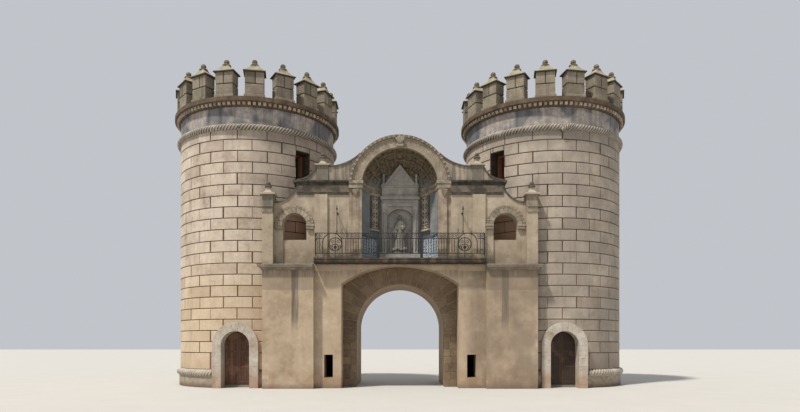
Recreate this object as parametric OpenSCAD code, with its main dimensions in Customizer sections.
// City gate with two round battlemented towers, an arched passage
// and an arched niche storey above it. Millimetres, +Z up, front at -Y.

/* [Towers] */
// Radius of the tower shaft
tower_r = 3950; // [3900:10:4000]
// Thickness of the tower wall
tower_wall = 1000; // [900:10:1100]
// Height of the plain plinth, up to the middle of the base rope
plinth_h = 700; // [650:10:800]
// How far the plinth stands out from the shaft
plinth_out = 80; // [60:5:110]
// Radius of the base rope's section
base_rope_r = 170; // [130:5:180]
// Height of the frieze between the upper rope's middle and the cornice
frieze_h = 950; // [850:10:1100]
// Radius of the upper rope's section
upper_rope_r = 150; // [120:5:160]
// Height of the underside of the tower cornice
cornice_z = 13250; // [13100:10:13400]
// Height of the tower cornice
cornice_h = 410; // [350:10:450]
// Overhang of the tower cornice
cornice_out = 295; // [250:5:330]
// Thickness of the deck on top of a tower
deck_t = 250; // [200:10:300]
// Thickness of the ground floors
ground_floor_t = 120; // [100:5:140]
// Height of the room under the deck
upper_room_h = 3500; // [3300:10:3700]
// Thickness of the upper floor
upper_floor_t = 250; // [200:10:300]

/* [Tower windows] */
// Width of the upper window
window_w = 800; // [700:10:900]
// Height of the upper window
window_h = 1680; // [1500:10:1800]
// Height of the sill above the upper floor
window_sill = 50; // [20:5:100]
// Direction of the window, measured from the front
window_angle = 45; // [44:1:46]

/* [Battlements] */
// Number of merlons on a tower
merlon_count = 18; // [18]
// Width of a merlon
merlon_w = 880; // [820:10:920]
// Depth of a merlon
merlon_d = 600; // [560:10:640]
// How far a merlon's foot stands out
merlon_foot = 50; // [40:5:60]
// Height of a merlon's foot
merlon_foot_h = 140; // [120:5:160]
// Height of a merlon, up to its cap
merlon_h = 1340; // [1200:10:1400]
// Distance from a merlon's face to the cornice edge
merlon_inset = 120; // [80:5:160]
// Overhang of a merlon cap
cap_out = 80; // [60:5:90]
// Height of the flat edge of a cap
cap_edge = 70; // [50:5:90]
// Height of the hollow-sided part of a cap
cap_h = 170; // [150:5:200]
// Half the width of the cap's flat top
cap_top = 200; // [180:5:220]
// Radius of the ball on a cap
cap_ball_r = 112; // [100:2:120]
// Radius of the neck under the ball
cap_neck_r = 120; // [105:5:130]
// Radius of the disc under the ball
cap_disc_r = 180; // [165:5:190]
// Height of the neck and of the disc on it
cap_neck_h = 40; // [35:5:50]

/* [Tower doors] */
// Clear width between the corner pier and the door's surround
door_gap = 265; // [245:5:285]
// Clear width of the doorway
door_w = 1320; // [1260:10:1360]
// Height of the springing of the doorway's arch
door_spring = 2020; // [1950:10:2060]
// Width of the stone surround
surround_w = 425; // [400:5:440]
// How far the surround stands in front of the shaft
surround_out = 80; // [60:5:100]
// Depth of the surround
surround_depth = 600; // [570:10:630]
// Half the width of the embrasure behind the surround
embrasure_half = 900; // [880:5:920]
// Thickness of a door leaf
leaf_t = 60; // [50:2:70]
// How far a leaf laps behind the surround
leaf_lap = 60; // [50:2:70]
// Running gap round the leaves
leaf_gap = 10; // [8:1:14]
// Radius of the pivot pins
pivot_r = 22; // [18:1:26]

/* [Lower block] */
// How far the front wall's face lies in front of the tower shafts
wall_out = 100; // [85:5:150]
// Thickness of the front wall
wall_t = 1000; // [900:10:1050]
// How far the corner piers stand out
pier_out = 350; // [300:10:400]
// Width of the wall between the recess and a corner pier
bay_w = 1264; // [1200:4:1320]
// Width of a corner pier
pier_w = 2380; // [2300:10:2440]
// Width of the narrowest part of the rooms beside the passage
room_w = 844; // [800:4:900]
// Height of the walls and piers, up to the cornice
lower_top = 5510; // [5450:10:5550]
// Thickness of the terrace slab and height of the pier cornices
terrace_t = 270; // [240:5:300]
// Overhang of the pier cornice
pier_cornice_out = 190; // [160:5:200]
// Width of the stone ring round the passage
ring_w = 607; // [560:1:640]
// Rise of the recess's flat arch
recess_rise = 880; // [800:10:950]
// Height of the wall between the recess's crown and the balcony
recess_cover = 40; // [30:5:80]
// Half the width of the passage
passage_half = 2149; // [2100:1:2200]
// Distance from the passage's crown up to the top of the walls
crown_cover = 471; // [440:1:560]
// Depth of the stone arch ring
ring_depth = 600; // [500:10:700]
// Distance of the rear face behind the plane of the tower axes
rear_y = 1000; // [900:10:1100]
// Thickness of the rear wall
rear_t = 600; // [500:10:700]
// Distance from the recess to a small window
slit_gap = 394; // [340:2:430]
// Width of a small window
slit_w = 420; // [380:10:460]
// Height of a small window's sill
slit_z = 500; // [450:10:600]
// Height of a small window
slit_h = 1080; // [1000:10:1150]
// Height of the rear parapet
parapet_h = 1050; // [950:10:1100]
// Thickness of the rear parapet
parapet_t = 400; // [350:10:450]

/* [Balcony] */
// Distance from the balcony's end to the corner pier
balcony_gap = 20; // [10:1:40]
// Height of the balcony's underside above the terrace
balcony_bed = 60; // [40:5:80]
// Thickness of the balcony slab
balcony_t = 230; // [200:5:250]
// How far the balcony stands out from the wall
balcony_out = 450; // [400:10:500]
// Distance from the balcony's edge to the railing's middle
rail_inset = 60; // [50:5:80]
// Height of the railing
rail_h = 1160; // [1100:10:1200]
// Height of the second rail above the slab
rail_mid = 890; // [850:10:930]
// Height of the bottom rail above the slab
rail_low = 200; // [180:5:220]
// Section of the rails
rail_bar = 30; // [24:2:36]
// Section of the balusters
baluster = 16; // [14:1:20]
// Distance between balusters
baluster_pitch = 120; // [110:5:140]
// Distance from the balcony's end to the round ornaments
scroll_in = 1000; // [950:10:1100]
// Outer radius of the round ornaments
scroll_r = 310; // [290:5:325]
// Height of the middle of the round ornaments
scroll_z = 630; // [600:5:650]
// Outer radius of the hoops over the round ornaments
hoop_r = 460; // [440:5:475]
// Distance from a round ornament's middle to its hoop's middle
hoop_shift = 130; // [110:5:150]
// Height of the spear points above the railing
spear_h = 230; // [180:10:280]
// Height of the uprights above the railing
upright_h = 1300; // [1200:10:1400]

/* [Upper storey] */
// Thickness of the upper walls
upper_t = 450; // [400:10:460]
// Height of the upper walls above the balcony
upper_h = 3020; // [2900:10:3100]
// Width of the pilaster strips at the balcony's ends
pilaster_w = 600; // [550:10:650]
// How far the pilaster strips stand out
pilaster_out = 100; // [80:5:120]
// Half the width of the niche
niche_half = 1787; // [1750:1:1820]
// Height of the niche arch's springing above the upper walls
niche_rise = 375; // [330:5:420]
// Width of the niche's arch
arch_w = 608; // [560:4:640]
// Half the width of the flat wall behind the altar
niche_flat = 1044; // [1000:4:1080]
// Thickness of the niche's rear wall
niche_back_t = 500; // [400:10:600]
// Width of the pilasters beside the niche
jamb_w = 410; // [380:10:440]
// How far the arch moulding stands out
archivolt_out = 120; // [100:5:140]
// Width of the raised outer band of the arch moulding
archivolt_band = 130; // [110:5:150]
// How far that band stands out from the arch moulding
archivolt_step = 60; // [50:5:70]
// Height of the impost moulding
impost_h = 345; // [320:5:380]
// Step of the impost moulding
impost_out = 35; // [30:1:40]
// Number of coffers across the niche's half dome
coffer_count = 9; // [7:1:11]
// Number of rows of coffers
coffer_rows = 3; // [2:1:4]
// Height angle of the lowest coffers' foot
coffer_foot = 18; // [16:1:22]
// Angle that the rows take from the front towards the back
coffer_run = 48; // [44:1:49]
// Width of the ribs between the coffers
coffer_rib = 90; // [70:5:110]
// Depth of the coffers
coffer_depth = 80; // [60:5:100]
// Height of the entablature
entablature_h = 640; // [600:5:680]
// How far the entablature runs past the balcony's end
entablature_run = 850; // [800:5:900]
// Overhang of the upper cornice
upper_cornice_out = 200; // [160:5:220]
// How far the upper cornice returns at its ends
cornice_return = 150; // [120:5:170]
// Thickness of the copings on ramps and wings
coping_t = 60; // [50:5:70]
// Overhang of the copings
coping_out = 50; // [40:5:60]
// Thickness of the attic ramps
ramp_t = 400; // [350:10:440]
// Distance from the balcony's end to the middle of an attic pinnacle
attic_in = 360; // [330:5:400]
// Width of an attic pinnacle
attic_w = 540; // [500:10:560]
// Height of an attic pinnacle above the cornice, up to its cap
attic_h = 730; // [700:10:760]
// How far the cap of an attic pinnacle stands out
attic_cap_out = 75; // [60:5:90]

/* [Side arches] */
// Radius of a side arch
side_r = 560; // [540:5:580]
// Height of a side arch's springing above the terrace
side_h = 1870; // [1750:10:1950]
// Width of a side arch's moulding
side_ring = 350; // [330:5:365]
// How far the side mouldings stand out
side_out = 80; // [60:5:100]
// Width of a pinnacle pier
pin_w = 500; // [460:5:540]
// Distance from a wing's low end up to the top of the upper walls
wing_drop = 390; // [340:10:420]
// Distance from the top of the upper walls up to a wing's high end
wing_rise = 340; // [300:10:380]
// Height of a pinnacle pier above the wing's low end, up to its cap
pin_h = 320; // [280:10:360]
// How far the cap of a pinnacle pier stands out
pin_cap_out = 110; // [90:5:120]
// Distance from a pinnacle pier's cap down to its lower band
band_low = 810; // [760:10:860]
// Distance from a pinnacle pier's cap down to its upper band
band_high = 560; // [500:10:600]
// Height of a band round a pinnacle pier
band_h = 90; // [70:5:110]
// Height of the parapets in the side arches
side_parapet_h = 1200; // [1100:10:1300]
// Thickness of the parapets in the side arches
side_parapet_t = 250; // [200:10:300]

/* [Altar] */
// Half the width of the altar's frame
altar_half = 900; // [850:10:940]
// Depth of the altar
altar_d = 350; // [300:10:400]
// Height of the altar's base
altar_base_h = 380; // [340:10:420]
// How far the altar's table stands out in front of its frame
altar_table = 180; // [170:10:230]
// Height of the altar's frame above its base
altar_frame_h = 2350; // [2250:10:2400]
// Half the width of the altar's recess
altar_recess = 620; // [580:10:640]
// Height of the springing of the altar's recess above the base
altar_recess_h = 1900; // [1800:10:1950]
// Rise of the altar recess's flat arch
altar_recess_rise = 330; // [280:10:360]
// Height of the altar's entablature
altar_top_h = 470; // [420:10:500]
// Height of the block over the entablature
altar_block_h = 570; // [520:10:600]
// Height of the gable over that block
altar_gable_h = 980; // [920:10:990]
// Height of the obelisks beside the gable
obelisk_h = 470; // [440:10:490]
// Width of the relief panels along the round wall
panel_w = 550; // [500:10:580]
// Thickness of the relief panels
panel_t = 90; // [70:5:100]
// Angle from the niche's flat back to a relief panel
panel_gap = 1.4; // [1:0.1:2]
// Height of the relief panels
panel_h = 1600; // [1500:10:1650]
// Height of the relief panels above the niche's floor
panel_z = 1630; // [1550:10:1700]
// Height of the statue
statue_h = 1920; // [1850:10:1950]
// Radius of the statue's robe at its foot
robe_r = 250; // [230:5:270]

/* [Hidden] */
$fn = 72;
fine = 360;
seat = 0.3;
seam = 0.003;
recess_half = passage_half + ring_w;
slit_x = recess_half + slit_gap;
pier_x0 = recess_half + bay_w;
pier_x1 = pier_x0 + pier_w;
tower_x = recess_half + room_w + tower_r;
wall_y = tower_r + wall_out;
tower_in = tower_r - tower_wall;
upper_rope_z = cornice_z - frieze_h;
upper_floor_z = cornice_z - upper_room_h;
terrace_z = lower_top + terrace_t;
balcony_z = terrace_z + balcony_bed;
balcony_half = pier_x0 - balcony_gap;
scroll_x = balcony_half - scroll_in;
upper_z = balcony_z + balcony_t;
upper_top = upper_z + upper_h;
entablature_top = upper_top + entablature_h;
entablature_x = balcony_half + entablature_run;
niche_spring = upper_top + niche_rise;
arch_r = niche_half + arch_w;
attic_x = balcony_half - attic_in;
pin_x = pier_x1 - pin_w;
side_x = (balcony_half + pin_x) / 2;
side_spring = terrace_z + side_h;
side_parapet = terrace_z + side_parapet_h;
wing_low = upper_top - wing_drop;
wing_high = upper_top + wing_rise;
pin_top = wing_low + pin_h;
recess_crown = balcony_z - recess_cover;
recess_spring = recess_crown - recess_rise;
passage_spring = lower_top - crown_cover - passage_half;
cornice_top = cornice_z + cornice_h;
merlon_ring = tower_r + cornice_out - merlon_inset - merlon_d / 2;
merlon_top = cornice_top + merlon_h;
door_half = door_w / 2;
surround_half = door_half + surround_w;
door_shift = pier_x1 + door_gap + surround_half - tower_x;
surround_front = tower_r + surround_out;
surround_back = surround_front - surround_depth;
leaf_z0 = ground_floor_t + leaf_gap;
leaf_w = door_half + leaf_lap;
leaf_top = door_spring + sqrt(surround_half * surround_half - leaf_w * leaf_w) - 50;
leaf_y = surround_back - leaf_gap - leaf_t / 2;
embrasure_top = leaf_top + 220;
recess_r = (recess_half * recess_half + recess_rise * recess_rise) / (2 * recess_rise);
ring_back = wall_y - wall_t - ring_depth;
niche_depth = sqrt(niche_half * niche_half - niche_flat * niche_flat);
niche_back = wall_y - niche_depth;
niche_foot = entablature_top - niche_spring;
impost_z = entablature_top - impost_h;
niche_rear = niche_back - niche_back_t;
upper_back = wall_y - upper_t;
rail_y = wall_y + balcony_out - rail_inset;
front_reach = max(wall_y + pier_out + pier_cornice_out, wall_y + balcony_out);
rear_reach = tower_r + cornice_out;
shift_y = (front_reach - rear_reach) / 2;
bay = 45;
front_angle = -asin(door_shift / tower_in) - bay / 2;

// The plane of the tower axes lies at this distance behind the middle.
module placed() {
    translate([0, shift_y, 0]) children();
}

module both_sides() {
    children();
    mirror([1, 0, 0]) children();
}

module at_left_tower() {
    placed() translate([-tower_x, 0, 0]) children();
}

module at_right_tower() {
    placed() mirror([1, 0, 0]) translate([-tower_x, 0, 0]) children();
}

module at_towers() {
    at_left_tower() children();
    at_right_tower() children();
}

// A turned piece from angle a0 to a1, measured from the front
// towards the middle of the gate.
module turned(a0, a1) {
    rotate([0, 0, a0 - 90]) rotate_extrude(angle = a1 - a0, $fn = fine) children();
}

// One of the eight upright segments of a tower's wall.
module segment(i) {
    turned(front_angle + i * bay + seam, front_angle + (i + 1) * bay - seam) wall_section();
}

module wall_section() {
    polygon([
        [tower_in, 0], [tower_r + plinth_out, 0],
        [tower_r + plinth_out, plinth_h], [tower_r, plinth_h],
        [tower_r, cornice_z], [tower_in, cornice_z]
    ]);
}

// A plate standing in the front plane, from depth y0 to y1 in front
// of the plane of the tower axes.
module upright_plate(y0, y1) {
    translate([0, -y0, 0]) rotate([90, 0, 0]) linear_extrude(y1 - y0) children();
}

// Everything taken up by a tower's shaft and plinth.
module tower_room() {
    for (s = [-1, 1]) translate([s * tower_x, 0, 0]) {
        cylinder(r = tower_r + seat, h = cornice_z, $fn = fine);
        cylinder(r = tower_r + plinth_out + seat, h = plinth_h + seat, $fn = fine);
    }
}

// ---- towers

module door_profile(half, top) {
    union() {
        translate([-half, 0]) square([2 * half, top]);
        translate([0, top]) circle(r = half);
    }
}

module door_wall() {
    difference() {
        segment(0);
        translate([-door_shift, 0, 0]) {
            upright_plate(surround_back, surround_front + 400)
                translate([0, -1]) door_profile(surround_half + seat, door_spring + 1);
            translate([-embrasure_half, -surround_back - 1, ground_floor_t])
                cube([2 * embrasure_half, tower_wall + 400, embrasure_top - ground_floor_t]);
        }
        // seat of the ground floor under the leaves
        translate([-door_shift - embrasure_half, -surround_back - 1, -1])
            cube([2 * embrasure_half, tower_wall + 400, ground_floor_t + 1]);
    }
}

module window_wall() {
    difference() {
        segment(1);
        rotate([0, 0, window_angle - 90])
            translate([tower_in - 300, -window_w / 2, upper_floor_z + window_sill])
                cube([tower_wall + 600, window_w, window_h]);
    }
}

module side_walls() {
    for (i = [2, 4, 6]) segment(i);
}

module diagonal_walls() {
    for (i = [3, 5, 7]) segment(i);
}

module left_tower_door_wall() {
    color("wheat") at_left_tower() door_wall();
}

module right_tower_door_wall() {
    color("wheat") at_right_tower() door_wall();
}

module left_tower_window_wall() {
    color("tan") at_left_tower() window_wall();
}

module right_tower_window_wall() {
    color("tan") at_right_tower() window_wall();
}

module left_tower_side_walls() {
    color("burlywood") at_left_tower() side_walls();
}

module right_tower_side_walls() {
    color("burlywood") at_right_tower() side_walls();
}

module left_tower_diagonal_walls() {
    color("wheat") at_left_tower() diagonal_walls();
}

module right_tower_diagonal_walls() {
    color("wheat") at_right_tower() diagonal_walls();
}

// A tower's floor runs into the embrasure and holds the pivot sockets.
// The rooms beside the passage have floors of their own.
module ground_floors() {
    room_x = passage_half + ring_w;
    room_y = wall_y - wall_t;
    color("gray") placed() both_sides() difference() {
        translate([room_x, -room_y, 0])
            cube([tower_x - room_x, room_y + rear_y - rear_t, ground_floor_t]);
        tower_room();
    }
    color("gray") at_towers() difference() {
        union() {
            cylinder(r = tower_in - seat, h = ground_floor_t, $fn = fine);
            translate([-door_shift - embrasure_half + seat, -surround_back + seat, 0])
                cube([2 * (embrasure_half - seat), surround_back - tower_in / 2, ground_floor_t - seat]);
        }
        for (s = [-1, 1]) translate([-door_shift + s * leaf_w, -leaf_y, ground_floor_t - 60])
            cylinder(r = pivot_r + seat, h = 100);
    }
}

module tower_upper_floors() {
    color("gray") at_towers() translate([0, 0, upper_floor_z - upper_floor_t])
        cylinder(r = tower_in - seat, h = upper_floor_t, $fn = fine);
}

module tower_decks() {
    color("gray") at_towers() translate([0, 0, cornice_z])
        cylinder(r = tower_in - seat, h = deck_t, $fn = fine);
}

module rope_section(z, r) {
    difference() {
        translate([tower_r + r / 4, z]) circle(r = r);
        translate([0, z - 2 * r]) square([tower_r + seat, 4 * r]);
    }
}

// The base rope lies on the plinth's edge and stops at the door
// surround and at the lower block.
module tower_base_ropes() {
    a0 = 90 + asin(rear_y / tower_r) + 0.3;
    a1 = 360 - asin((door_shift + surround_half) / tower_r) - 0.3;
    color("lightgray") at_towers() turned(a0, a1) difference() {
        translate([tower_r + base_rope_r / 4, plinth_h]) circle(r = base_rope_r);
        translate([0, 0]) square([tower_r + plinth_out + seat, plinth_h + seat]);
        translate([0, 0]) square([tower_r + seat, plinth_h + 2 * base_rope_r]);
    }
}

module tower_upper_ropes() {
    color("lightgray") at_towers() rotate_extrude($fn = fine) rope_section(upper_rope_z, upper_rope_r);
}

module tower_cornices() {
    color("darkgray") at_towers() rotate_extrude($fn = fine) difference() {
        translate([tower_in, cornice_z + seat])
            square([tower_wall + cornice_out, cornice_h - seat]);
        translate([tower_r + cornice_out, cornice_z - 20]) circle(r = cornice_out - 60);
    }
}

module each_merlon() {
    for (i = [0 : merlon_count - 1]) rotate([0, 0, (i + 0.5) * 360 / merlon_count - 90])
        translate([merlon_ring, 0, 0]) children();
}

module merlons() {
    color("silver") at_towers() each_merlon() translate([0, 0, cornice_top + seat]) {
        translate([-merlon_d / 2, -merlon_w / 2, 0]) cube([merlon_d, merlon_w, merlon_h - seat]);
        translate([-merlon_d / 2 - merlon_foot, -merlon_w / 2 - merlon_foot, 0])
            cube([merlon_d + 2 * merlon_foot, merlon_w + 2 * merlon_foot, merlon_foot_h]);
    }
}

// A hollow-sided cap: a block whose four sides are scooped out.
module cap_profile(half, edge, h, top, more) {
    r = ((half - top) * (half - top) + h * h) / (2 * h);
    difference() {
        translate([-half, -more]) square([2 * half, edge + h + 2 * more]);
        for (s = [-1, 1]) translate([s * half, edge + r]) circle(r = r);
    }
}

module scooped_cap(w, d, edge, h, top) {
    intersection() {
        rotate([90, 0, 0]) linear_extrude(2 * d, center = true) cap_profile(w / 2, edge, h, top, 0);
        rotate([90, 0, 90]) linear_extrude(2 * w, center = true) cap_profile(d / 2, edge, h, top, 10);
    }
}

// A turned finial: neck, disc and ball.
module finial(neck, disc, ball, step) {
    rotate_extrude() intersection() {
        union() {
            square([neck, 2 * step]);
            translate([0, step]) square([disc, step]);
            translate([0, 2 * step + 0.76 * ball]) circle(r = ball);
        }
        square([2 * disc, 2 * step + 2 * ball]);
    }
}

module merlon_caps() {
    color("dimgray") at_towers() each_merlon() translate([0, 0, merlon_top]) {
        scooped_cap(merlon_d + 2 * cap_out, merlon_w + 2 * cap_out, cap_edge, cap_h, cap_top);
        translate([0, 0, cap_edge + cap_h - 1])
            finial(cap_neck_r, cap_disc_r, cap_ball_r, cap_neck_h);
    }
}

module door_surrounds() {
    color("gainsboro") at_towers() translate([-door_shift, 0, 0])
        upright_plate(surround_back, surround_front) difference() {
            door_profile(surround_half, door_spring);
            translate([-surround_half, -surround_half])
                square([2 * surround_half, surround_half]);
            translate([0, -1]) door_profile(door_half, door_spring + 1);
        }
}

// Iron eyes behind the surround that hold the leaves' upper pivots.
module door_pivot_brackets() {
    color("dimgray") at_towers() for (s = [-1, 1])
        translate([-door_shift + s * leaf_w, 0, leaf_top + leaf_gap]) difference() {
            translate([-50, -surround_back, 0]) cube([100, leaf_t + leaf_gap + 45, 40]);
            translate([0, -leaf_y, -1]) cylinder(r = pivot_r + seat, h = 42);
        }
}

// A leaf hangs on a round stile with a pivot at each end.
module door_leaf() {
    edge = 3;
    translate([leaf_w, -leaf_y, 0]) {
        translate([0, 0, leaf_z0]) cylinder(r = leaf_t / 2, h = leaf_top - leaf_z0);
        translate([0, 0, ground_floor_t - 60 + seat])
            cylinder(r = pivot_r, h = leaf_z0 - ground_floor_t + 61);
        translate([0, 0, leaf_top - 1]) cylinder(r = pivot_r, h = leaf_gap + 36);
    }
    translate([edge, -leaf_y - leaf_t / 2, leaf_z0])
        cube([leaf_w - edge, leaf_t, leaf_top - leaf_z0]);
    // ledges across the inner side
    for (z = [0.12, 0.5, 0.86]) translate([60, -leaf_y + leaf_t / 2 - 1, leaf_z0 + z * (leaf_top - leaf_z0)])
        cube([leaf_w - 130, 41, 130]);
}

module left_door_outer_leaf() {
    color("saddlebrown") at_left_tower() translate([-door_shift, 0, 0])
        mirror([1, 0, 0]) door_leaf();
}

module left_door_inner_leaf() {
    color("saddlebrown") at_left_tower() translate([-door_shift, 0, 0]) door_leaf();
}

module right_door_inner_leaf() {
    color("saddlebrown") at_right_tower() translate([-door_shift, 0, 0]) door_leaf();
}

module right_door_outer_leaf() {
    color("saddlebrown") at_right_tower() translate([-door_shift, 0, 0])
        mirror([1, 0, 0]) door_leaf();
}

// ---- lower block

module front_walls() {
    color("peru") placed() both_sides() difference() {
        translate([recess_half, -wall_y, 0])
            cube([pier_x1 - recess_half, wall_t, lower_top]);
        tower_room();
        translate([slit_x, -wall_y - 100, slit_z]) cube([slit_w, wall_t + 200, slit_h]);
    }
}

module corner_piers() {
    color("sandybrown") placed() both_sides() translate([pier_x0, -wall_y - pier_out, 0])
        cube([pier_x1 - pier_x0, pier_out, lower_top]);
}

// The cornice returns round the outer side of the pier.
module pier_cornices() {
    h = terrace_z - lower_top;
    out = pier_cornice_out;
    scoop = out - 50;
    color("sienna") placed() both_sides() difference() {
        translate([pier_x0, -wall_y - pier_out - out, lower_top])
            cube([pier_x1 - pier_x0 + out, pier_out + out, h]);
        translate([0, -wall_y - pier_out - out, lower_top]) rotate([0, 90, 0])
            cylinder(r = scoop, h = 2 * pier_x1);
        translate([pier_x1 + out, -wall_y + 100, lower_top]) rotate([90, 0, 0])
            cylinder(r = scoop, h = pier_out + out + 200);
    }
}

module front_arch_head() {
    color("peru") placed() upright_plate(wall_y - wall_t, wall_y) difference() {
        translate([-recess_half, recess_spring])
            square([2 * recess_half, balcony_z - recess_spring]);
        translate([0, recess_crown - recess_r]) circle(r = recess_r, $fn = 180);
    }
}

module ring_profile() {
    difference() {
        union() {
            translate([-recess_half, 0]) square([2 * recess_half, passage_spring]);
            intersection() {
                translate([0, passage_spring]) circle(r = recess_half);
                translate([-recess_half, 0]) square([2 * recess_half, passage_spring + recess_half]);
            }
        }
        translate([-passage_half, -1]) square([2 * passage_half, passage_spring + 1]);
        translate([0, passage_spring]) circle(r = passage_half);
    }
}

module gate_arch_ring() {
    color("rosybrown") placed() upright_plate(ring_back, wall_y - wall_t) ring_profile();
}

module gate_arch_spandrel() {
    color("peru") placed() upright_plate(ring_back, wall_y - wall_t) difference() {
        translate([-recess_half, passage_spring])
            square([2 * recess_half, lower_top - passage_spring]);
        translate([0, passage_spring]) circle(r = recess_half);
    }
}

module passage_walls() {
    color("tan") placed() both_sides() translate([passage_half, -ring_back, 0])
        cube([ring_w, ring_back + rear_y, passage_spring]);
}

module passage_vault() {
    half = passage_half + ring_w;
    color("tan") placed() upright_plate(-rear_y, ring_back) difference() {
        translate([-half, passage_spring]) square([2 * half, lower_top - passage_spring]);
        translate([0, passage_spring]) circle(r = passage_half);
    }
}

module rear_walls() {
    x0 = passage_half + ring_w;
    color("peru") placed() both_sides() difference() {
        translate([x0, rear_y - rear_t, 0]) cube([tower_x - x0, rear_t, lower_top]);
        tower_room();
    }
}

module terrace_slab() {
    color("gray") placed() difference() {
        translate([-pier_x1, -wall_y, lower_top])
            cube([2 * pier_x1, wall_y + rear_y, terrace_z - lower_top]);
        translate([-recess_half, -wall_y - 1, lower_top - 1])
            cube([2 * recess_half, wall_t + 1, terrace_z]);
        upright_plate(ring_back, wall_y - wall_t + 1)
            translate([0, passage_spring]) circle(r = recess_half);
        tower_room();
    }
}

module rear_parapet() {
    color("peru") placed() difference() {
        translate([-tower_x + tower_in, rear_y - parapet_t, terrace_z])
            cube([2 * (tower_x - tower_in), parapet_t, parapet_h]);
        tower_room();
    }
}

// ---- balcony

module balcony_slab() {
    out = wall_y + balcony_out;
    color("dimgray") placed() {
        translate([-balcony_half, -out, balcony_z])
            cube([2 * balcony_half, out - upper_back, balcony_t]);
        translate([-arch_r, -upper_back - 1, balcony_z])
            cube([2 * arch_r, upper_back - niche_rear + 1, balcony_t]);
        // bed on the terrace
        for (s = [0, 1]) mirror([s, 0, 0])
            translate([recess_half, -wall_y, terrace_z])
                cube([balcony_half - recess_half, upper_t, balcony_z - terrace_z + 1]);
        translate([-arch_r, -wall_y + wall_t, terrace_z])
            cube([2 * arch_r, wall_y - wall_t - niche_rear, balcony_z - terrace_z + 1]);
    }
}

// A flat iron ring standing in the plane of the railing.
module flat_ring(r, bar, t) {
    rotate([90, 0, 0]) linear_extrude(t, center = true) difference() {
        circle(r = r);
        circle(r = r - bar);
    }
}

module balcony_railing() {
    half = balcony_half - rail_inset;
    n = floor(half / baluster_pitch);
    hoop_x = scroll_x + hoop_shift;
    hoop_z = rail_h - hoop_r;
    in_x = hoop_x - hoop_r;
    out_x = hoop_x + hoop_r;
    color("black") placed() translate([0, -rail_y, upper_z]) {
        for (z = [rail_low, rail_h - rail_bar])
            translate([-half, -rail_bar / 2, z]) cube([2 * half, rail_bar, rail_bar]);
        translate([-in_x - 1, -rail_bar / 2, rail_mid]) cube([2 * in_x + 2, rail_bar, rail_bar]);
        for (i = [-n : n]) if (abs(i * baluster_pitch) < in_x - 40 || abs(i * baluster_pitch) > out_x + 40)
            translate([i * baluster_pitch - baluster / 2, -baluster / 2, rail_low + 1])
                cube([baluster, baluster, (abs(i * baluster_pitch) > out_x ? rail_h : rail_mid + 5) - rail_low - 2]);
        for (s = [0, 1]) mirror([s, 0, 0]) {
            // end post, and the uprights' feet under the rail
            translate([half - rail_bar, -rail_bar / 2, 0]) cube([rail_bar, rail_bar, rail_h]);
            translate([out_x, -rail_bar / 2, rail_mid]) cube([half - out_x, rail_bar, rail_bar]);
            translate([scroll_x - rail_bar / 2, -rail_bar / 2, 0])
                cube([rail_bar, rail_bar, scroll_z - scroll_r + 10]);
            // round ornament with a smaller ring and an eye
            translate([scroll_x, 0, scroll_z]) flat_ring(scroll_r, 22, 30);
            translate([scroll_x, 0, scroll_z - scroll_r + 170]) flat_ring(165, 18, 24);
            translate([scroll_x, 12, scroll_z - scroll_r + 170]) rotate([90, 0, 0]) cylinder(r = 40, h = 24);
            translate([scroll_x - 8, -8, rail_low]) cube([16, 16, rail_h - rail_low - 1]);
            // hoop and its legs
            translate([hoop_x, 0, hoop_z]) difference() {
                flat_ring(hoop_r, 26, 36);
                translate([-2 * hoop_r, -50, -2 * hoop_r]) cube([4 * hoop_r, 100, 2 * hoop_r]);
            }
            for (x = [in_x, out_x - 26]) translate([x, -13, rail_low]) cube([26, 26, hoop_z - rail_low + 1]);
            // spear at the inner leg
            translate([in_x + 13, 0, rail_h - 1]) cylinder(r = 12, h = spear_h - 100);
            translate([in_x + 13, 0, rail_h + spear_h - 110]) cylinder(r1 = 28, r2 = 2, h = 110);
            translate([in_x, -13, 0]) cube([26, 26, rail_h]);
        }
    }
}

module railing_ends() {
    half = balcony_half - rail_inset;
    gap = rail_bar / 2 + seat;
    run = rail_y - wall_y - pilaster_out - gap;
    n = floor(run / baluster_pitch);
    color("black") placed() both_sides() translate([half - rail_bar, -rail_y + gap, upper_z]) {
        for (z = [rail_low, rail_mid, rail_h - rail_bar])
            translate([0, 0, z]) cube([rail_bar, run, rail_bar]);
        for (i = [1 : n]) translate([(rail_bar - baluster) / 2, (i * run) / (n + 1) - baluster / 2, rail_low + 1])
            cube([baluster, baluster, rail_mid - rail_low]);
    }
}

module balcony_uprights() {
    color("black") placed() both_sides() translate([scroll_x - 80, -rail_y, upper_z + rail_h]) {
        cylinder(r = 17, h = upright_h - 180);
        translate([0, 0, 60]) sphere(r = 34);
        translate([0, 0, upright_h - 200]) sphere(r = 42);
        translate([0, 0, upright_h - 190]) cylinder(r1 = 36, r2 = 3, h = 190);
    }
}

// A tie runs from the upright back to the wall.
module balcony_ties() {
    run = rail_y - wall_y - 17 - seat;
    color("black") placed() both_sides()
        translate([scroll_x - 80, -wall_y, upper_z + rail_h + upright_h - 330]) {
            rotate([90, 0, 0]) cylinder(r = 13, h = run);
            rotate([90, 0, 0]) cylinder(r = 45, h = 12);
            for (i = [0 : 2]) translate([0, -(i + 0.5) * run / 3, -45]) rotate([0, 0, 90])
                flat_ring(50, 12, 12);
        }
}

// ---- upper storey

module upper_side_walls() {
    color("peru") placed() both_sides() {
        translate([arch_r, -wall_y, upper_z])
            cube([balcony_half - arch_r, upper_t, upper_top - upper_z]);
        translate([balcony_half - pilaster_w, -wall_y - pilaster_out, upper_z])
            cube([pilaster_w, pilaster_out + 1, upper_top - upper_z]);
    }
}

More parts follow.
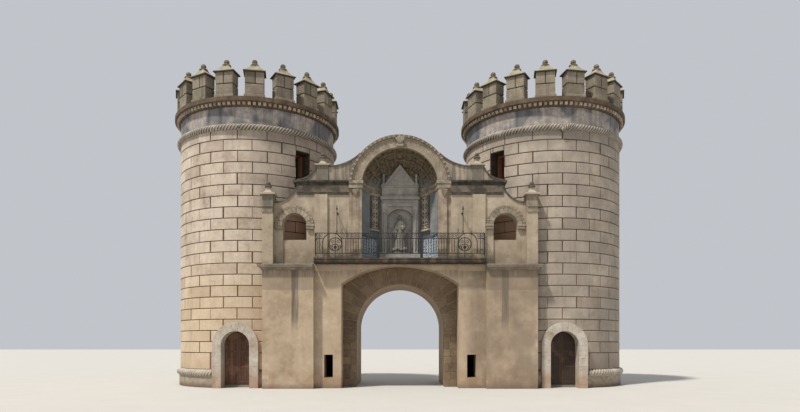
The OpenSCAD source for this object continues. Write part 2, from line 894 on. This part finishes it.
// Plan of the wall on the right side of the round niche. Its face and
// its reveal stand out by the given step.
module jamb_plan(step, w) {
    difference() {
        union() {
            translate([0, -wall_y]) square([arch_r, niche_depth]);
            translate([niche_half - step, -wall_y - pilaster_out - step])
                square([w + step, pilaster_out + step + 1]);
        }
        translate([0, -wall_y]) circle(r = niche_half - step, $fn = fine);
    }
}

module niche_walls() {
    color("slategray") placed() both_sides() {
        translate([0, 0, upper_z]) linear_extrude(impost_z - upper_z) jamb_plan(0, jamb_w);
        // the entablature's mouldings run on over the jamb and into the niche
        translate([0, 0, impost_z]) linear_extrude(impost_h * 0.6)
            jamb_plan(impost_out, arch_r - niche_half);
        translate([0, 0, impost_z + impost_h * 0.6]) linear_extrude(impost_h * 0.4)
            jamb_plan(2 * impost_out, arch_r - niche_half);
    }
}

module niche_back_wall() {
    color("sienna") placed() upright_plate(niche_rear, niche_back) {
        translate([-arch_r, upper_z]) square([2 * arch_r, niche_spring - upper_z]);
        intersection() {
            translate([0, niche_spring]) circle(r = arch_r);
            translate([-arch_r, niche_spring - 1]) square([2 * arch_r, arch_r + 1]);
        }
    }
}

module half_ring(r0, r1) {
    difference() {
        circle(r = r1, $fn = fine);
        circle(r = r0, $fn = fine);
        translate([-2 * r1, niche_foot - 2 * r1]) square([4 * r1, 2 * r1]);
    }
}

// The ball whose back half bounds the niche's half dome.
module dome_ball(r) {
    translate([0, -wall_y, niche_spring]) rotate([90, 0, 0]) sphere(r = r, $fn = 180);
}

// A coffer between two rings of the half dome: a block that narrows
// towards the back, pushed into the dome from inside.
module coffer(fan, row, turn) {
    tall = 2 * niche_half * tan(row / 2) - coffer_rib;
    wide = 2 * niche_half * sin(90 - turn + row / 2) * tan(fan / 2) - coffer_rib;
    narrow = 2 * niche_half * sin(90 - turn - row / 2) * tan(fan / 2) - coffer_rib;
    rotate([-turn, 0, 0]) translate([0, 0, niche_half * 0.9])
        linear_extrude(niche_half * 0.1 + coffer_depth) polygon([
            [-wide / 2, -tall / 2], [wide / 2, -tall / 2], [narrow / 2, tall / 2], [-narrow / 2, tall / 2]
        ]);
}

// A half dome over the round niche, with sunk coffers in rings.
module niche_vault() {
    fan = (180 - 2 * coffer_foot) / coffer_count;
    row = coffer_run / coffer_rows;
    color("saddlebrown") placed() difference() {
        upright_plate(niche_back, wall_y) translate([0, niche_spring]) half_ring(1, arch_r);
        dome_ball(niche_half);
        translate([0, -wall_y, niche_spring])
            for (i = [0 : coffer_count - 1]) for (j = [0 : coffer_rows - 1])
                rotate([0, 90 - coffer_foot - (i + 0.5) * fan, 0]) coffer(fan, row, (j + 0.5) * row);
    }
}

module archivolt() {
    key_w = 280;
    color("rosybrown") placed() {
        upright_plate(wall_y, wall_y + archivolt_out)
            translate([0, niche_spring]) half_ring(niche_half, arch_r);
        upright_plate(wall_y, wall_y + archivolt_out + archivolt_step)
            translate([0, niche_spring]) half_ring(arch_r - archivolt_band, arch_r);
        // keystone
        translate([-key_w / 2, -wall_y - archivolt_out - archivolt_step, niche_spring + niche_half])
            cube([key_w, archivolt_step + 1, arch_w]);
    }
}

// Profile of the entablature, seen from its end: architrave, frieze
// and cornice.
module entablature_section() {
    polygon([
        [0, upper_top], [upper_t + 50, upper_top], [upper_t + 50, upper_top + 110],
        [upper_t + 30, upper_top + 110], [upper_t + 30, entablature_top - 200],
        [upper_t + 90, entablature_top - 150], [upper_t + 90, entablature_top - 110],
        [upper_t + upper_cornice_out, entablature_top - 70],
        [upper_t + upper_cornice_out, entablature_top], [0, entablature_top]
    ]);
}

module entablature() {
    back = wall_y - upper_t;
    color("sienna") placed() both_sides() {
        translate([arch_r, -back, 0]) rotate([90, 0, 90])
            linear_extrude(entablature_x - arch_r) mirror([1, 0]) entablature_section();
        // the cornice returns past the end of the frieze
        translate([entablature_x - 1, -wall_y - upper_cornice_out, entablature_top - 110])
            cube([cornice_return + 1, upper_t + upper_cornice_out, 110]);
    }
}

// Values of the two hollow curves beside an attic pinnacle.
ramp_low = entablature_top + attic_h - coping_t - 10;
ramp_in_end = attic_x - attic_w / 2;
ramp_in_start = arch_r * cos(41);
ramp_high = niche_spring + arch_r * sin(41);
ramp_in_run = ramp_in_end - ramp_in_start;
ramp_in_rise = ramp_high - ramp_low;
ramp_in_r = (ramp_in_run * ramp_in_run + ramp_in_rise * ramp_in_rise) / (2 * ramp_in_rise);
ramp_out_start = attic_x + attic_w / 2;
ramp_out_run = entablature_x - ramp_out_start;
ramp_out_rise = attic_h - 120;
ramp_out_r = (ramp_out_run * ramp_out_run + ramp_out_rise * ramp_out_rise) / (2 * ramp_out_rise);
wing_run = pin_x - entablature_x;
wing_height = wing_high - wing_low;
wing_r = (wing_run * wing_run + wing_height * wing_height) / (2 * wing_height);

module attic_ramps() {
    low = entablature_top;
    color("peru") placed() both_sides() upright_plate(wall_y - ramp_t, wall_y) {
        difference() {
            translate([ramp_in_start, low]) square([ramp_in_run, ramp_high - low]);
            translate([0, niche_spring]) circle(r = arch_r);
            translate([ramp_in_end, ramp_low + ramp_in_r]) circle(r = ramp_in_r);
        }
        difference() {
            translate([ramp_out_start, low]) square([ramp_out_run, ramp_out_rise + 30]);
            translate([entablature_x, low + 30 + ramp_out_r]) circle(r = ramp_out_r);
        }
    }
}

// A strip of coping on a hollow curve, within a box of its ends.
module coping_band(x, z, r, x0, x1, z1) {
    intersection() {
        translate([x, z + r]) difference() {
            circle(r = r);
            circle(r = r - coping_t);
        }
        translate([x0, z - 1]) square([x1 - x0, z1 - z + 1]);
    }
}

module copings() {
    color("dimgray") placed() both_sides() {
        upright_plate(wall_y - ramp_t - coping_out, wall_y + coping_out) {
            difference() {
                coping_band(ramp_in_end, ramp_low, ramp_in_r, ramp_in_start, ramp_in_end, ramp_high);
                translate([0, niche_spring]) circle(r = arch_r);
            }
            coping_band(entablature_x, entablature_top + 30, ramp_out_r,
                ramp_out_start, entablature_x, entablature_top + 30 + ramp_out_rise);
        }
        upright_plate(wall_y - upper_t, wall_y + coping_out)
            coping_band(pin_x, wing_low, wing_r, entablature_x, pin_x, wing_high);
    }
}

// The cap of a pinnacle as wide as w.
module pinnacle_cap(w, edge, h, ball) {
    scooped_cap(w, w, edge, h, 90);
    translate([0, 0, edge + h - 1]) finial(70, ball + 30, ball, 40);
}

module attic_pinnacle() {
    translate([-attic_w / 2, -attic_w / 2, 0]) cube([attic_w, attic_w, attic_h]);
    translate([0, 0, attic_h]) pinnacle_cap(attic_w + 2 * attic_cap_out, 70, 210, 95);
}

module attic_pinnacles() {
    color("tan") placed() both_sides()
        translate([attic_x, -wall_y + attic_w / 2 - 50, entablature_top])
            attic_pinnacle();
}

module side_wall_profile() {
    difference() {
        union() {
            translate([balcony_half, terrace_z]) square([pin_x - balcony_half, upper_top - terrace_z]);
            translate([entablature_x, upper_top - 1])
                square([pin_x - entablature_x, wing_high - upper_top + 1]);
        }
        translate([pin_x, wing_low + wing_r]) circle(r = wing_r);
        translate([side_x - side_r, 0]) square([2 * side_r, side_spring]);
        translate([side_x, side_spring]) circle(r = side_r);
    }
}

module side_arch_walls() {
    color("peru") placed() both_sides() difference() {
        upright_plate(upper_back, wall_y) side_wall_profile();
        tower_room();
    }
}

module side_arch_mouldings() {
    color("rosybrown") placed() both_sides() upright_plate(wall_y, wall_y + side_out) {
        translate([side_x, side_spring]) half_ring(side_r, side_r + side_ring);
        for (s = [0, 1]) translate([side_x, 0]) mirror([s, 0])
            translate([side_r, side_spring - 180]) square([side_ring, 181]);
    }
}

module side_arch_parapets() {
    color("tan") placed() both_sides()
        translate([side_x - side_r, -wall_y + 80, terrace_z])
            cube([2 * side_r, side_parapet_t, side_parapet - terrace_z]);
}

module pinnacle_piers() {
    w = pier_x1 - pin_x;
    y = wall_y + pier_out;
    color("sandybrown") placed() both_sides() {
        difference() {
            union() {
                translate([pin_x, -y, terrace_z]) cube([w, pier_out + upper_t, pin_top - terrace_z]);
                translate([pin_x + w / 2, -y + w / 2, pin_top])
                    pinnacle_cap(w + 2 * pin_cap_out, 80, 290, 105);
            }
            tower_room();
        }
        for (z = [band_low, band_high]) translate([pin_x, -y - 40, pin_top - z])
            cube([w + 40, 60, band_h]);
    }
}

// ---- altar in the niche

module altar_aedicule() {
    y = niche_back;
    z1 = upper_z + altar_base_h;
    z2 = z1 + altar_frame_h;
    z3 = z2 + altar_top_h;
    z4 = z3 + altar_block_h;
    strip = altar_half - altar_recess;
    rise = altar_recess_rise;
    r = (altar_recess * altar_recess + rise * rise) / (2 * rise);
    color("burlywood") placed() {
        upright_plate(y, y + altar_d + altar_table) translate([-altar_half - 80, upper_z])
            square([2 * altar_half + 160, altar_base_h]);
        difference() {
            upright_plate(y, y + altar_d - 100) translate([-altar_half, z1 - 1])
                square([2 * altar_half, altar_frame_h + 1]);
            upright_plate(y + 60, y + altar_d) {
                translate([-altar_recess, z1]) square([2 * altar_recess, altar_recess_h]);
                intersection() {
                    translate([0, z1 + altar_recess_h + rise - r]) circle(r = r);
                    translate([-altar_recess, z1 + altar_recess_h - 1]) square([2 * altar_recess, rise + 1]);
                }
            }
        }
        // pilasters with a base and a capital
        for (s = [0, 1]) mirror([s, 0, 0]) {
            upright_plate(y, y + altar_d - 40) translate([altar_recess + 20, z1 - 1])
                square([strip - 60, altar_frame_h + 1]);
            upright_plate(y, y + altar_d) {
                translate([altar_recess, z1 - 1]) square([strip - 20, 160]);
                translate([altar_recess, z2 - 180]) square([strip - 20, 180]);
            }
        }
        // entablature in three steps and a block over it
        upright_plate(y, y + altar_d - 30) translate([-altar_half, z2 - 1]) square([2 * altar_half, altar_top_h * 0.3 + 1]);
        upright_plate(y, y + altar_d - 70) translate([-altar_half, z2]) square([2 * altar_half, altar_top_h]);
        upright_plate(y, y + altar_d + 40) translate([-altar_half - 50, z3 - altar_top_h * 0.3])
            square([2 * altar_half + 100, altar_top_h * 0.3]);
        upright_plate(y, y + altar_d - 110) translate([-altar_half + 20, z3 - 1])
            square([2 * altar_half - 40, altar_block_h + 1]);
        upright_plate(y, y + altar_d - 60) translate([-altar_half - 10, z4 - 90]) square([2 * altar_half + 20, 90]);
        // steep gable and two obelisks under the half dome
        intersection() {
            union() {
                upright_plate(y, y + altar_d - 20)
                    polygon([[-altar_half + 200, z4 - 1], [altar_half - 200, z4 - 1], [0, z4 + altar_gable_h]]);
                for (s = [-1, 1]) translate([s * (altar_half - 100), -y - altar_d + 130, z4 - 1]) {
                    translate([-70, -70, 0]) cube([140, 140, 130]);
                    cylinder(r = 55, h = obelisk_h);
                    translate([0, 0, obelisk_h + 30]) sphere(r = 70);
                }
            }
            dome_ball(niche_half - seat);
        }
    }
}

// Relief panels on the round wall beside the altar.
module altar_panels() {
    a = 90 - acos(niche_depth / niche_half) - panel_gap;
    turn = panel_w / niche_half * 180 / PI;
    color("tan") placed() both_sides() translate([0, -wall_y, upper_z + panel_z])
        rotate([0, 0, a - turn]) rotate_extrude(angle = turn, $fn = fine)
            translate([niche_half - seat - panel_t, 0]) square([panel_t, panel_h]);
}

// A robed figure with a child on its arm.
module statue() {
    base_h = 190;
    k = statue_h - base_h;
    color("linen") placed() translate([0, -niche_back - 60 - robe_r + 30 - seat, upper_z + altar_base_h]) {
        translate([-robe_r - 60, -robe_r + 10, 0]) cube([2 * robe_r + 120, 2 * robe_r - 60, base_h + 1]);
        translate([0, -30, base_h]) {
            rotate_extrude() polygon([
                [0, 0], [robe_r, 0], [robe_r * 0.92, k * 0.1], [robe_r * 0.72, k * 0.45],
                [robe_r * 0.76, k * 0.62], [robe_r * 0.8, k * 0.78], [robe_r * 0.55, k * 0.85],
                [robe_r * 0.22, k * 0.87], [robe_r * 0.22, k * 0.92], [0, k * 0.92]
            ]);
            translate([0, 0, k * 0.935]) sphere(r = k * 0.065);
            translate([robe_r * 0.55, -robe_r * 0.6, k * 0.56]) {
                cylinder(r1 = 95, r2 = 75, h = k * 0.14);
                translate([0, 0, k * 0.14]) cylinder(r = 34, h = k * 0.04);
                translate([0, 0, k * 0.195]) sphere(r = k * 0.04);
            }
        }
    }
}

left_tower_door_wall();
left_tower_window_wall();
left_tower_side_walls();
left_tower_diagonal_walls();
right_tower_door_wall();
right_tower_window_wall();
right_tower_side_walls();
right_tower_diagonal_walls();
ground_floors();
tower_upper_floors();
tower_decks();
tower_base_ropes();
tower_upper_ropes();
tower_cornices();
merlons();
merlon_caps();
door_surrounds();
door_pivot_brackets();
left_door_outer_leaf();
left_door_inner_leaf();
right_door_inner_leaf();
right_door_outer_leaf();
front_walls();
corner_piers();
pier_cornices();
front_arch_head();
gate_arch_ring();
gate_arch_spandrel();
passage_walls();
passage_vault();
rear_walls();
terrace_slab();
rear_parapet();
balcony_slab();
balcony_railing();
railing_ends();
balcony_uprights();
balcony_ties();
upper_side_walls();
niche_walls();
niche_back_wall();
niche_vault();
archivolt();
entablature();
attic_ramps();
attic_pinnacles();
copings();
side_arch_walls();
side_arch_mouldings();
side_arch_parapets();
pinnacle_piers();
altar_aedicule();
altar_panels();
statue();
